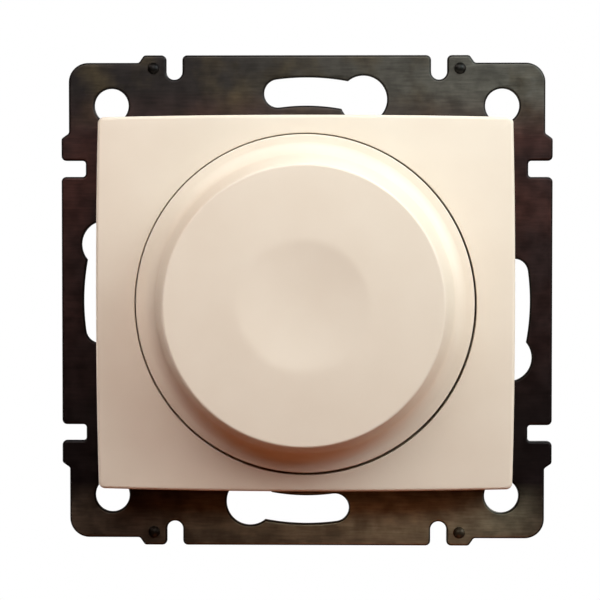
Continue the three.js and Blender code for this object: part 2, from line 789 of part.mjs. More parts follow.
// The hole for the screw that holds the triac's tab to the heat sink.
function tabHole() {
  const through = [TRIAC.tabBack - TRIAC.body, HEAT_SINK.x[1] + BEYOND];
  return layAlongX(rod([0, 0], 1.6, through, SMALL)).translate([0, 0, TRIAC.hole]);
}

// A TO-220 device: a moulded body with a metal tab above it and three legs below.
function triac() {
  const { tabBack, halfWidth, legPitch } = TRIAC;
  const wide = [-halfWidth, halfWidth];
  const body = block([tabBack - TRIAC.body, tabBack], wide, [-17, -8.4]);
  const tab = block([tabBack - TRIAC.tab, tabBack], wide, [-8.7, -3.4]);
  const legs = [-legPitch, 0, legPitch].map((y) =>
    block([13.2, 13.7], [y - 0.4, y + 0.4], [boardTop, -16.5]),
  );
  return cut(join(body, tab, ...legs), tabHole());
}

function heatSink() {
  const { x, halfWidth } = HEAT_SINK;
  return cut(block(x, [-halfWidth, halfWidth], [boardTop, -2 * REST]), tabHole());
}

function triacScrew() {
  return slottedScrew(3.3).rotate([0, -90, 0]).translate([TRIAC.tabBack - TRIAC.tab - REST, 0, TRIAC.hole]);
}

function capacitor({ x, y, top }) {
  return block(x, y, [boardTop, top]);
}

// A round body lying on the board with a wire leg at each end.
function leadedBody({ radius, length }, [x, y], facets = 10) {
  const reach = length / 2 + 1;
  const z = boardTop + radius;
  const wire = 0.3;
  const body = layAlongX(rod([0, 0], radius, [-length / 2, length / 2], facets));
  const lead = layAlongX(rod([0, 0], wire, [-reach, reach], 6));
  const legs = [-reach, reach].map((at) =>
    block([at - wire, at + wire], [-wire, wire], [-radius, wire]),
  );
  return join(body, lead, ...legs).translate([x, y, z]);
}

function alongFuse(radius, [from, to], facets = 16) {
  return layAlongY(rod([0, 0], radius, [from, to], facets)).translate([FUSE.x, 0, FUSE.z]);
}

function fuseTube() {
  const ends = [FUSE.from + 0.5, FUSE.to - 0.5];
  return cut(alongFuse(FUSE.radius - 0.35, ends), alongFuse(1.5, [ends[0] - 1, ends[1] + 1], SMALL));
}

// A cap closes one end of the glass tube. Direction is 1 for the upper end and -1 for the lower end.
function fuseCap(direction) {
  const end = direction > 0 ? FUSE.to : FUSE.from;
  const span = (from, to) => [end - direction * from, end - direction * to].sort((a, b) => a - b);
  const hollow = alongFuse(FUSE.radius - 0.25, span(0.4, FUSE.capLength + 1));
  return cut(alongFuse(FUSE.radius, span(0, FUSE.capLength)), hollow);
}

// A clip holds the cap from below: a foot on the board and a fork on each side of the cap.
function fuseClip(direction) {
  const middle = (direction > 0 ? FUSE.to : FUSE.from) - direction * (FUSE.capLength / 2 + 0.3);
  const width = [middle - 1.6, middle + 1.6];
  const outer = FUSE.radius + 0.5;
  const arms = block([FUSE.x - outer, FUSE.x + outer], width, [boardTop, FUSE.z + 1.2]);
  const cradle = alongFuse(FUSE.radius + REST, past(width));
  const under = FUSE.radius + REST - 0.3;
  const gap = block([FUSE.x - under, FUSE.x + under], past(width), [boardTop + 0.4, FUSE.z - 2.9]);
  return cut(arms, cradle, gap);
}

function addElectronics() {
  addPiece("circuit_board", circuitBoard(), boardLaminate);
  addPiece("choke_core", chokeCore(), ferrite);
  addPiece("choke_winding", chokeWinding(), enamelWire);
  addPiece("film_capacitor", capacitor(FILM_CAPACITOR), filmBox);
  addPiece("timing_capacitor", capacitor(TIMING_CAPACITOR), filmBox);
  addPiece("triac", triac(), blackPlastic);
  addPiece("heat_sink", heatSink(), aluminium);
  addPiece("triac_screw", triacScrew(), zincSteel);
  addPiece("resistor_upper", leadedBody(RESISTOR, [RESISTOR.x, RESISTOR.y]), resistorPaint);
  addPiece("resistor_lower", leadedBody(RESISTOR, [RESISTOR.x, -RESISTOR.y]), resistorPaint);
  addPiece("trigger_diode", leadedBody(DIODE, DIODE.at), blackPlastic);
  addPiece("fuse_tube", fuseTube(), clearGlass);
  addPiece("fuse_wire", alongFuse(0.15, [FUSE.from + 0.6, FUSE.to - 0.6], 6), tinnedCopper);
  addPiece("fuse_cap_upper", fuseCap(1), zincSteel);
  addPiece("fuse_cap_lower", fuseCap(-1), zincSteel);
  addPiece("fuse_clip_upper", fuseClip(1), brass);
  addPiece("fuse_clip_lower", fuseClip(-1), brass);
}

// ---------------------------------------------------------------- terminals
// The screw turns on the spot and draws its cage back, which clamps the wire against the contact bar.
function terminalCage(x) {
  const half = TERMINAL.cageHalfWidth;
  const depth = TERMINAL.cageHalfDepth;
  const wall = TERMINAL.cageWall;
  const y = [TERMINAL.y - depth, TERMINAL.y + depth];
  return cut(
    block([x - half, x + half], y, [TERMINAL.cageBack, TERMINAL.cageFront]),
    block(
      [x - half + wall, x + half - wall],
      [y[0] - 1, y[1] + 1],
      [TERMINAL.cageBack + 1.6, TERMINAL.cageFront - 1.2],
    ),
    rod([x, TERMINAL.y], M3.shank + 0.1, [TERMINAL.cageBack - 1, TERMINAL.cageBack + 2], SMALL),
  );
}

function contactBar(x) {
  const halfWidth = 1.8;
  const back = TERMINAL.barFront - TERMINAL.barThickness;
  const bar = block([x - halfWidth, x + halfWidth], [-21, -10.2], [back, TERMINAL.barFront]);
  const leg = block([x - halfWidth, x + halfWidth], [-11.1, -10.2], [boardTop, TERMINAL.barFront]);
  return join(bar, leg);
}

function terminalScrew(x) {
  const tip = TERMINAL.barFront - TERMINAL.barThickness - REST;
  const length = tip - TERMINAL.screwHead;
  return slottedScrew(length, 1.2).rotate([180, 0, 0]).translate([x, TERMINAL.y, TERMINAL.screwHead]);
}

function addTerminals() {
  [-1, 0, 1].forEach((place, index) => {
    const x = place * TERMINAL.pitch;
    addPiece("terminal_cage_" + (index + 1), terminalCage(x), brass);
    addPiece("contact_bar_" + (index + 1), contactBar(x), tinnedCopper);
    addPiece("terminal_screw_" + (index + 1), terminalScrew(x), zincSteel);
  });
}

// ---------------------------------------------------------------- claws
// A claw is an L: a short arm under the end of its screw and a long arm along the housing with teeth.
function claw(side) {
  const wide = [-CLAW.halfWidth, CLAW.halfWidth];
  const outer = CLAW.x + CLAW.thickness;
  const foot = block([20.2, outer], wide, [CLAW.back, CLAW.back + CLAW.thickness]);
  const arm = block([CLAW.x, outer], wide, [CLAW.back, CLAW.front]);
  const hole = block([20.9, 24.5], [-1.7, 1.7], [CLAW.back - 1, CLAW.back + 3]);
  const teeth = [-3, 0, 3].map((y) => {
    const tooth = polygon([
      [outer - 0.3, CLAW.front],
      [outer + 1.0, CLAW.front],
      [outer - 0.3, CLAW.front - 1.8],
    ]);
    return prism(tooth, [-1.1, 1.1]).rotate([90, 0, 0]).translate([0, y, 0]);
  });
  const whole = cut(join(foot, arm, ...teeth), hole);
  return side > 0 ? whole : whole.rotate([0, 0, 180]);
}

function clawScrew(side) {
  const front = STRAP.thickness + REST;
  return slottedScrew(front - CLAW.back + 1.2).translate([side * CLAW.screwAt, 0, front]);
}

function addClaws() {
  addPiece("claw_left", claw(-1), zincSteel);
  addPiece("claw_right", claw(1), zincSteel);
  addPiece("claw_screw_left", clawScrew(-1), zincSteel);
  addPiece("claw_screw_right", clawScrew(1), zincSteel);
}

addFrontPieces();
addPiece("housing_cover", housingCover(), housingPlastic);
addPiece("rear_housing", rearHousing(), housingPlastic);
addHousingScrews();
addControls();
addElectronics();
addTerminals();
addClaws();

group.rotation.x = Math.PI / 2;

export default group;
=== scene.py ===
"""Looks of a flush rotary dimmer: a finer strap, cover plate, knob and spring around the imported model."""

import json
import math

import bmesh
import bpy
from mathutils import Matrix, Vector
from mathutils.geometry import tessellate_polygon


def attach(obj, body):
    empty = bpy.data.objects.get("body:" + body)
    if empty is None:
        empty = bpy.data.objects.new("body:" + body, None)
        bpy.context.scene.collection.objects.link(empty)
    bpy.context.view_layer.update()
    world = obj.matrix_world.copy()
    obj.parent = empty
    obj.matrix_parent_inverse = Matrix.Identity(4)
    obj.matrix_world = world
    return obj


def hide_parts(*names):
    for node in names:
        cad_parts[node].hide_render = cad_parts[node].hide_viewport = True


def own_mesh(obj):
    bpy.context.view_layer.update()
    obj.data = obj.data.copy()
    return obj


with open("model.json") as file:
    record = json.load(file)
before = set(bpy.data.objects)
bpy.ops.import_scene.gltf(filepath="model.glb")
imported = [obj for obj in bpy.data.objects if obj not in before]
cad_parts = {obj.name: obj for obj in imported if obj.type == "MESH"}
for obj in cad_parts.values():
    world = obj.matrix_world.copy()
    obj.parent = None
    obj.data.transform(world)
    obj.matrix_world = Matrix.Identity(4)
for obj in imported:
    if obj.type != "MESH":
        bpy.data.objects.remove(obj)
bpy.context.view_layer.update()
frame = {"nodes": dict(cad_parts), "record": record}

# ---------------------------------------------------------------- sizes, in millimetres
# Drawing axes: x right, y up, z towards the room with 0 at the back of the strap.
MM = 0.001

STRAP_HALF = 35.3
STRAP_FRONT = 1.0
CORNER_INSET = 1.08
CORNER_RADIUS = 2.8
TAB_END = 23.6
STEP_RUN = 0.75
NOTCH_AT = 19.0
NOTCH_HALF = 1.15
NOTCH_DEPTH = 3.5
NOTCH_CORNER = 0.45  # floor radius of the notches in the left and right sides; the others end round
MOUTH_RADIUS = 0.7
TAB_ROUND = 0.5
STEP_ROUND = 0.45
SIDE_POINT = 8  # an extra point on each straight side, this far from its middle
STRAP_ROLL = (0.38, 0.12)  # how far its front and back edges are rounded over
STRAP_FLAT = 0.93  # a face whose normal points less than this to front or back is on an edge, and takes the darker copy of the sheet's colours, painted shade
SLOT_RADIUS = 30.1
SLOT_HALF = 2.015
SLOT_NARROW_DEG = 7.8
SLOT_KEY_DEG = 15.7
KEY_RADIUS = 3.4
CORNER_HOLE = 2.45
CORNER_HOLE_AT = 28.05
BUSHING_HOLE = 5.1
SCREW_HOLE = 1.7
SCREW_HOLES_AT = ((-22.6, 0), (22.6, 0), (-18.5, -12.5), (18.5, -12.5), (0, 21.3))
PIP_AT = (22.0, 33.4)
PIP_DOME = ((0, 0.48), (0.25, 0.45), (0.5, 0.36), (0.7, 0.2), (0.85, 0.0), (0.85, -0.25), (0, -0.25))

PLATE_HALF = (29.55, 26.55)
PLATE_BOW = 0.35
PLATE_BACK = 1.2
PLATE_FRONT = 10.0
PLATE_EDGE = 0.45
PLATE_CORNER = 0.9
PLATE_CORNER_LEAST = 0.12
PLATE_WALL = 1.6
PLATE_UNDERSIDE = 7.9
PLATE_CHAMFER = 0.15
PLATE_CROWN = (0.5, 0.12)
OPENING = 24.10
OPENING_AT = (0.05, -0.11)  # middle of the opening, which sits a little off the knob's axis
OPENING_ROLL = 0.15
DISH_BACK = 3.4
DISH_FLOOR = 4.8
DISH_HOLE = 5.0
DISH_CORNER = 0.4
DISH_OUTSIDE = 24.85

FLANGE = 23.83
FLANGE_FRONT = 10.2
FLANGE_ROLL = 0.12
KNOB_FACE = 18.0
KNOB_RIM = (19.3, 0.4)  # radius of the face, and of its rounded rim
FLANK_MIDDLE = (20.3, 15.0)
FLANK_FOOT = (20.87, 12.3)
FLANK_SWEEP = 2.1  # radius of the hollow between the flank and the flange
MATT_DEPTH = 1.4  # the face is matt down to this far behind its front
KNOB_INSIDE = [
    (FLANGE, 6.6),
    (22.4, 6.6),
    (22.3, 8.6),
    (19.0, 9.4),
    (18.0, 15.5),
    (5.2, 15.5),
    (5.2, 10.2),
    (3.15, 10.2),
    (3.15, 14.6),
    (0, 14.6),
]
DIMPLE = (0.62, 9.1, 0.7)  # depth, radius of its rim, and half the width over which the rim is eased

SPRING_FROM_TO = (-18.8, -13.7)
SPRING_RADIUS = 2.2
SPRING_WIRE = 0.28
SPRING_TURNS = 6
SPRING_CLOSED = (0.8, 0.35)  # closed turns at each end, and their rise per turn

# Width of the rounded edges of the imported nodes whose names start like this.
EDGE_WIDTHS = {
    "rear_housing": 0.4,
    "housing_cover": 0.3,
    "claw_left": 0.15,
    "claw_right": 0.15,
    "claw_screw": 0.12,
    "terminal_screw": 0.12,
    "terminal_cage": 0.15,
    "housing_screw": 0.12,
}


def place(x, y, z):
    """A drawing point in millimetres as a point of the model in metres."""
    return Vector((x * MM, -z * MM, y * MM))


# ---------------------------------------------------------------- mesh helpers
def new_piece(name, points, faces, materials, body, replaced):
    """A visible piece that rides a body of the model and stands in for some of its nodes."""
    mesh = bpy.data.meshes.new(name)
    mesh.from_pydata([place(*p) for p in points], [], faces)
    mesh.validate()
    mesh.shade_smooth()
    for material in materials:
        mesh.materials.append(material)
    piece = bpy.data.objects.new(name, mesh)
    bpy.context.scene.collection.objects.link(piece)
    weigh = piece.modifiers.new("even_normals", "WEIGHTED_NORMAL")
    weigh.weight = 100
    weigh.keep_sharp = True
    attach(piece, body)
    if replaced:
        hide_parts(*replaced)
    return piece


def face_outwards(piece):
    """Turns every face of a closed mesh outwards."""
    work = bmesh.new()
    work.from_mesh(piece.data)
    bmesh.ops.remove_doubles(work, verts=work.verts, dist=1e-7)
    bmesh.ops.recalc_face_normals(work, faces=work.faces)
    work.to_mesh(piece.data)
    work.free()


def polar(radius, degrees):
    """The point at this distance and bearing from the middle."""
    a = math.radians(degrees)
    return (radius * math.cos(a), radius * math.sin(a))


def arc(centre, radius, start, end, steps):
    """Points on an arc from one angle to another, in degrees."""
    out = []
    for i in range(steps + 1):
        x, y = polar(radius, start + (end - start) * i / steps)
        out.append((centre[0] + x, centre[1] + y))
    return out


def turn(points, degrees):
    """The points turned about the middle."""
    c, s = math.cos(math.radians(degrees)), math.sin(math.radians(degrees))
    return [(x * c - y * s, x * s + y * c) for x, y in points]


def tidy_loop(points, least=0.02):
    """The loop without points that nearly coincide."""
    out = []
    for p in points:
        if not out or math.dist(p, out[-1]) > least:
            out.append(p)
    if math.dist(out[0], out[-1]) < least:
        out.pop()
    return out


def signed_area(loop):
    pairs = zip(loop, loop[1:] + loop[:1])
    return sum(a[0] * b[1] - b[0] * a[1] for a, b in pairs) / 2


def grown(loop, distance):
    """The loop moved to its right by a distance: outwards if it runs counter-clockwise."""
    out = []
    count = len(loop)
    for i, p in enumerate(loop):
        before, after = loop[i - 1], loop[(i + 1) % count]
        d1 = Vector((p[0] - before[0], p[1] - before[1])).normalized()
        d2 = Vector((after[0] - p[0], after[1] - p[1])).normalized()
        normal = Vector((d1.y + d2.y, -d1.x - d2.x)).normalized()
        stretch = 1 / max(0.5, normal.dot(Vector((d1.y, -d1.x))))
        out.append((p[0] + normal.x * distance * stretch, p[1] + normal.y * distance * stretch))
    return out


def sheet_mesh(outer, holes, back, front, roll_front, roll_back, steps=4):
    """Points and faces of a flat sheet with holes, its front and back edges rounded over."""
    loops = [outer if signed_area(outer) > 0 else outer[::-1]]
    loops += [h if signed_area(h) < 0 else h[::-1] for h in holes]
    levels = []
    for i in range(steps + 1):
        a = math.radians(90 * i / steps)
        levels.append((-roll_back * (1 - math.sin(a)), back + roll_back * (1 - math.cos(a))))
    for i in range(steps + 1):
        a = math.radians(90 * i / steps)
        levels.append((-roll_front * (1 - math.cos(a)), front - roll_front * (1 - math.sin(a))))
    points, faces, starts = [], [], []
    for loop in loops:
        start = len(points)
        starts.append(start)
        n = len(loop)
        for distance, z in levels:
            points += [(x, y, z) for x, y in grown(loop, distance)]
        for level in range(len(levels) - 1):
            a, b = start + level * n, start + (level + 1) * n
            faces += [(a + i, a + (i + 1) % n, b + (i + 1) % n, b + i) for i in range(n)]
    for level in (0, len(levels) - 1):
        index, flat = [], []
        for loop, start in zip(loops, starts):
            ids = [start + level * len(loop) + i for i in range(len(loop))]
            index += ids
            flat.append([Vector((points[i][0], points[i][1], 0)) for i in ids])
        faces += [tuple(index[i] for i in tri) for tri in tessellate_polygon(flat)]
    return points, faces


def lathe(profile, count):
    """Points and faces of a profile of (radius, z) turned about the z axis."""
    points, faces, rings = [], [], []
    for radius, z in profile:
        if radius < 1e-6:
            rings.append([len(points)])
            points.append((0, 0, z))
            continue
        rings.append(list(range(len(points), len(points) + count)))
        for i in range(count):
            a = 2 * math.pi * i / count
            points.append((radius * math.cos(a), radius * math.sin(a), z))
    for low, high in zip(rings, rings[1:]):
        for i in range(count):
            j = (i + 1) % count
            quad = [low[i % len(low)], low[j % len(low)], high[j % len(high)], high[i % len(high)]]
            faces.append(tuple(dict.fromkeys(quad)))
    return points, [f for f in faces if len(f) > 2]


# ---------------------------------------------------------------- materials
class Shader:
    """A small builder for one procedural material in the object's own coordinates."""

    def __init__(self, name):
        self.material = bpy.data.materials.new(name)
        self.material.use_nodes = True
        self.nodes = self.material.node_tree.nodes
        self.links = self.material.node_tree.links
        self.surface = self.nodes["Principled BSDF"]
        self.place = self.nodes.new("ShaderNodeTexCoord").outputs["Object"]

    def stretched(self, scale):
        """The object's own coordinates, scaled along each axis."""
        mapping = self.nodes.new("ShaderNodeMapping")
        mapping.inputs["Scale"].default_value = scale
        self.links.new(self.place, mapping.inputs["Vector"])
        return mapping.outputs["Vector"]

    def noise(self, size_mm, detail=3.0, stretch=(1, 1, 1)):
        """Noise with features of about this size."""
        node = self.nodes.new("ShaderNodeTexNoise")
        node.inputs["Scale"].default_value = 1 / (size_mm * MM)
        node.inputs["Detail"].default_value = detail
        self.links.new(self.stretched(stretch), node.inputs["Vector"])
        return node.outputs["Fac"]

    def strap_place(self):
        """How far a point is to the right of and above the middle, as shares of half the strap."""
        split = self.nodes.new("ShaderNodeSeparateXYZ")
        self.links.new(self.stretched((1 / (STRAP_HALF * MM),) * 3), split.inputs[0])
        return split.outputs["X"], split.outputs["Z"]

    def scaled(self, colour, amount):
        """A colour made darker or lighter by an amount."""
        scale = self.nodes.new("ShaderNodeVectorMath")
        scale.operation = "SCALE"
        scale.inputs["Scale"].default_value = amount
        self.links.new(colour, scale.inputs[0])
        return scale.outputs[0]

    def between(self, factor, low, high, start=0.35, end=0.65):
        """A number or colour that runs from low to high as the factor goes from start to end."""
        ramp = self.nodes.new("ShaderNodeMapRange")
        ramp.inputs["From Min"].default_value = start
        ramp.inputs["From Max"].default_value = end
        self.links.new(factor, ramp.inputs["Value"])
        if isinstance(low, (int, float)):
            ramp.inputs["To Min"].default_value = low
            ramp.inputs["To Max"].default_value = high
            return ramp.outputs["Result"]
        mix = self.nodes.new("ShaderNodeMix")
        mix.data_type = "RGBA"
        self.links.new(ramp.outputs["Result"], mix.inputs["Factor"])
        for side, colour in (("A", low), ("B", high)):
            target = [s for s in mix.inputs if s.name == side and s.type == "RGBA"][0]
            if isinstance(colour, bpy.types.NodeSocket):
                self.links.new(colour, target)
            else:
                target.default_value = (*colour, 1)
        return [s for s in mix.outputs if s.type == "RGBA"][0]

    def set(self, **values):
        """Sets or links the sockets of the surface shader."""
        for key, value in values.items():
            socket = self.surface.inputs[key.replace("_", " ").title().replace("Ior", "IOR")]
            if isinstance(value, bpy.types.NodeSocket):
                self.links.new(value, socket)
            elif isinstance(value, tuple):
                socket.default_value = (*value, 1)
            else:
                socket.default_value = value
        return self

    def bump(self, *layers):
        """Adds bumps from (height, depth in mm) pairs."""
        normal = None
        for height, depth in layers:
            node = self.nodes.new("ShaderNodeBump")
            node.inputs["Distance"].default_value = depth * MM
            self.links.new(height, node.inputs["Height"])
            if normal:
                self.links.new(normal, node.inputs["Normal"])
            normal = node.outputs["Normal"]
        self.links.new(normal, self.surface.inputs["Normal"])
        return self


def moulded(name, light, dark, roughness, grain_mm, depth, uneven=0.12):
    """Moulded plastic: faint flow marks in the colour, and a fine grain in the gloss and surface."""
    s = Shader(name)
    flow = s.noise(9.0, 2.0)
    grain = s.noise(grain_mm, 2.0)
    s.set(base_color=s.between(flow, light, dark, 0.3, 0.7), specular_ior_level=0.27)
    s.set(roughness=s.between(grain, roughness * (1 - uneven), roughness * (1 + uneven)))
    return s.bump((grain, depth)).material


def plated(name, light, dark, roughness, streak=(1, 1, 1)):
    """Plated or rolled metal: cloudy tone, fine scratches and a little surface relief."""
    s = Shader(name)
    clouds = s.noise(2.4, 4.0)
    lines = s.noise(0.35, 3.0, streak)
    s.set(metallic=0.9, base_color=s.between(clouds, light, dark, 0.3, 0.7))
    s.set(roughness=s.between(lines, roughness * 0.85, roughness * 1.2))
    return s.bump((lines, 0.0015)).material


def oxide_steel_painted_light(name, shade=1.0):
    """Dark passivated sheet with painted light and shade in its colours: maroon black down the sides, going
    near-black lower down as painted shade beside the plate; brown along the bottom and grey olive along the
    top, both paler towards the right as a painted sheen, with soft clouds and a fine rolled grain. The
    bottom bar is painted paler next to the plate, painted light that offsets the plate's cast shadow, and
    darker along its lower edge and at its right end; the top bar has olive stains. The shade argument
    scales every colour."""
    s = Shader(name)
    across, up = s.strap_place()
    clouds = s.noise(11.0, 3.0)
    blotch = s.noise(2.0, 5.0)
    grain = s.noise(0.28, 3.0, (0.10, 1, 1))

    def tint(*colour):
        return tuple(c * shade for c in colour)

    # Sides: a maroon tone, going near-black lower down: painted shade beside the plate.
    maroon = s.between(clouds, tint(0.050, 0.019, 0.015), tint(0.026, 0.013, 0.012), 0.38, 0.62)
    side = s.between(up, tint(0.010, 0.006, 0.006), maroon, -0.5, 0.4)
    # Bottom bar: painted light, paler next to the plate to offset the plate's cast shadow and paler towards
    # the right as a painted sheen; darker along its lower edge and at its right end.
    near = s.between(across, tint(0.110, 0.086, 0.060), tint(0.640, 0.640, 0.430), -0.7, 0.40)
    rim = s.between(across, tint(0.060, 0.044, 0.030), tint(0.290, 0.240, 0.150), -0.7, 0.40)
    below = s.between(up, rim, near, -0.98, -0.84)
    below = s.between(across, below, tint(0.100, 0.074, 0.050), 0.60, 0.98)
    # Top bar: paler towards the right, a painted sheen, with olive stains over it.
    above = s.between(across, tint(0.014, 0.011, 0.010), tint(0.080, 0.077, 0.063), -0.5, 0.8)
    above = s.between(s.noise(7.0, 4.0), above, tint(0.050, 0.038, 0.020), 0.48, 0.72)
    bars = s.between(up, below, above, -0.2, 0.2)
    lower = s.between(up, bars, side, -0.92, -0.74)
    whole = s.between(up, lower, bars, 0.66, 0.86)
    patchy = s.between(blotch, s.scaled(whole, 0.78), s.scaled(whole, 1.22), 0.36, 0.66)
    grained = s.between(grain, s.scaled(patchy, 0.82), s.scaled(patchy, 1.18), 0.3, 0.7)
    s.set(base_color=grained, metallic=0.5, specular_ior_level=0.3)
    s.set(roughness=s.between(blotch, 0.36, 0.48))
    return s.bump((grain, 0.006), (blotch, 0.012)).material


def wound_wire():
    """Enamelled copper wire."""
    s = Shader("wound_wire")
    tone = s.noise(0.8, 3.0)
    s.set(metallic=0.85, base_color=s.between(tone, (0.42, 0.11, 0.035), (0.28, 0.06, 0.02)))
    s.set(roughness=s.between(tone, 0.25, 0.42))
    return s.bump((tone, 0.02)).material


def clear_glass():
    """The fuse's glass, with a faint waviness."""
    s = Shader("clear_glass")
    waves = s.noise(1.5, 2.0)
    s.set(base_color=s.between(waves, (0.93, 0.97, 0.96), (0.88, 0.94, 0.92)), transmission_weight=1.0)
    s.set(roughness=s.between(waves, 0.02, 0.06), ior=1.5)
    return s.bump((waves, 0.005)).material


IVORY = ((0.846, 0.758, 0.630), (0.816, 0.722, 0.594))
HOUSING_GREY = ((0.66, 0.63, 0.57), (0.61, 0.58, 0.52))
DARK_GREY = ((0.022, 0.022, 0.024), (0.014, 0.014, 0.016))
BOARD_GREEN = ((0.03, 0.17, 0.07), (0.02, 0.12, 0.05))
BOARD_BROWN = ((0.17, 0.07, 0.028), (0.12, 0.045, 0.018))
FERRITE_GREY = ((0.05, 0.05, 0.056), (0.03, 0.03, 0.034))
BOX_YELLOW = ((0.66, 0.42, 0.05), (0.58, 0.35, 0.04))
LACQUER = ((0.62, 0.50, 0.30), (0.52, 0.40, 0.23))
ZINC = ((0.62, 0.62, 0.60), (0.47, 0.48, 0.46))
BRASS = ((0.72, 0.50, 0.20), (0.55, 0.36, 0.13))
TIN = ((0.72, 0.71, 0.67), (0.58, 0.57, 0.52))
ALUMINIUM = ((0.70, 0.71, 0.73), (0.58, 0.59, 0.61))
SPRING_STEEL = ((0.50, 0.51, 0.53), (0.36, 0.37, 0.39))

# One material for each slot of the record.
MATERIALS = {
    "ivory_plastic": moulded("ivory_gloss", *IVORY, 0.36, 1.5, 0.0004, 0.03),
    "strap_steel": oxide_steel_painted_light("oxide_steel_painted_light"),
    "zinc_steel": plated("zinc_plate", *ZINC, 0.34),
    "brass": plated("brass_metal", *BRASS, 0.30),
    "tinned_copper": plated("tinned_copper", *TIN, 0.26),
    "housing_plastic": moulded("housing_grey", *HOUSING_GREY, 0.42, 0.25, 0.006),
    "black_plastic": moulded("black_moulding", *DARK_GREY, 0.45, 0.2, 0.006),
    "board_laminate": moulded("green_laminate", *BOARD_GREEN, 0.30, 0.6, 0.008),
    "phenolic": moulded("brown_laminate", *BOARD_BROWN, 0.55, 0.3, 0.008),
    "ferrite": moulded("ferrite_grey", *FERRITE_GREY, 0.62, 0.2, 0.012),
    "enamel_wire": wound_wire(),
    "aluminium": plated("mill_aluminium", *ALUMINIUM, 0.40, (1, 0.2, 1)),
    "film_box": moulded("yellow_box", *BOX_YELLOW, 0.32, 0.4, 0.004),
    "resistor_paint": moulded("resistor_lacquer", *LACQUER, 0.38, 0.3, 0.006),
    "clear_glass": clear_glass(),
    "spring_steel": plated("spring_metal", *SPRING_STEEL, 0.24),
}
# Darker copies of the strap's colours, painted shade: one for its rounded edges and the pips, one for its
# back.
STRAP_EDGE_SHADE = oxide_steel_painted_light("edge_steel_shade", 0.16)
STRAP_BACK_SHADE = oxide_steel_painted_light("rear_steel_shade", 0.45)
KNOB_MATT = moulded("ivory_matt", *IVORY, 0.52, 0.15, 0.003, 0.06)


# ---------------------------------------------------------------- strap
def strap_half_side(round_ended):
    """Right half of one side, from its middle to the middle of the corner arc."""
    edge, inset = STRAP_HALF, STRAP_HALF - CORNER_INSET
    near, far = NOTCH_AT - NOTCH_HALF, NOTCH_AT + NOTCH_HALF
    floor = edge - NOTCH_DEPTH
    m = MOUTH_RADIUS
    end = NOTCH_HALF if round_ended else NOTCH_CORNER
    side = [(0, edge), (SIDE_POINT, edge)]
    side += arc((near - m, edge - m), m, 90, 0, 6)
    side += arc((near + end, floor + end), end, 180, 270, 8)
    side += arc((far - end, floor + end), end, 270, 360, 8)
    side += arc((far + m, edge - m), m, 180, 90, 6)
    side += arc((TAB_END - TAB_ROUND, edge - TAB_ROUND), TAB_ROUND, 90, 35, 4)
    side += arc((TAB_END + STEP_RUN, inset + STEP_ROUND), STEP_ROUND, 215, 270, 4)
    corner = inset - CORNER_RADIUS
    side += arc((corner, corner), CORNER_RADIUS, 90, 45, 8)
    return side


def strap_outline():
    """The whole outline: four sides, each a quarter turn on. Notches in the top and bottom end round."""
    loop = []
    for quarter in range(4):
        half = strap_half_side(round_ended=quarter % 2 == 0)
        mirrored = [(-x, y) for x, y in half][::-1]
        loop += turn(mirrored + half, -90 * quarter)
    return tidy_loop(loop)


def keyhole():
    """The slot above the centre, narrow at its left end and round at its right end."""
    narrow = 90 + SLOT_NARROW_DEG
    key = 90 - SLOT_KEY_DEG
    centre, end = polar(SLOT_RADIUS, key), polar(SLOT_RADIUS, narrow)

    def meets(radius):
        """The point where the slot's edge of this radius enters the key."""
        edge = arc((0, 0), radius, key + 1, narrow, 800)
        return min(edge, key=lambda point: abs(math.dist(point, centre) - KEY_RADIUS))

    def bearing(point, middle):
        return math.degrees(math.atan2(point[1] - middle[1], point[0] - middle[0]))

    far, near = SLOT_RADIUS + SLOT_HALF, SLOT_RADIUS - SLOT_HALF
    outer, inner = meets(far), meets(near)
    loop = arc((0, 0), far, bearing(outer, (0, 0)), narrow, 24)
    loop += arc(end, SLOT_HALF, narrow, narrow + 180, 16)
    loop += arc((0, 0), near, narrow, bearing(inner, (0, 0)), 24)
    start = bearing(inner, centre)
    if start > 0:
        start -= 360
    loop += arc(centre, KEY_RADIUS, start, bearing(outer, centre), 40)
    return tidy_loop(loop)


def round_hole(centre, radius, count):
    """A circle of this many points."""
    return arc(centre, radius, 0, 360 - 360 / count, count - 1)


def make_strap():
    """The stamped sheet and the four pips on it. Its rounded edges, its back and the pips take darker
    copies of its colours, painted shade.
    """
    holes = []
    for quarter in range(4):
        holes.append(turn(keyhole(), -90 * quarter))
        holes.append(turn(round_hole((CORNER_HOLE_AT, CORNER_HOLE_AT), CORNER_HOLE, 48), -90 * quarter))
    holes.append(round_hole((0, 0), BUSHING_HOLE, 36))
    holes += [round_hole(at, SCREW_HOLE, 24) for at in SCREW_HOLES_AT]
    points, faces = sheet_mesh(strap_outline(), holes, 0, STRAP_FRONT, *STRAP_ROLL)
    materials = [MATERIALS["strap_steel"], STRAP_EDGE_SHADE, STRAP_BACK_SHADE]
    strap = new_piece("strap_sheet", points, faces, materials, "insert", ["mounting_strap"])
    face_outwards(strap)
    # Edge faces take the darker copy and back faces the dimmed copy: painted shade.
    for polygon in strap.data.polygons:
        if abs(polygon.normal.y) < STRAP_FLAT:
            polygon.material_index = 1
        elif polygon.normal.y > 0:
            polygon.material_index = 2
    dome, faces = lathe([(r, STRAP_FRONT + z) for r, z in PIP_DOME], 28)
    for i, (sx, sy) in enumerate(((-1, 1), (1, 1), (-1, -1), (1, -1))):
        points = [(x + sx * PIP_AT[0], y + sy * PIP_AT[1], z) for x, y, z in dome]
        pip = new_piece(f"strap_pip_{i + 1}", points, faces, [STRAP_EDGE_SHADE], "insert", [])
        face_outwards(pip)


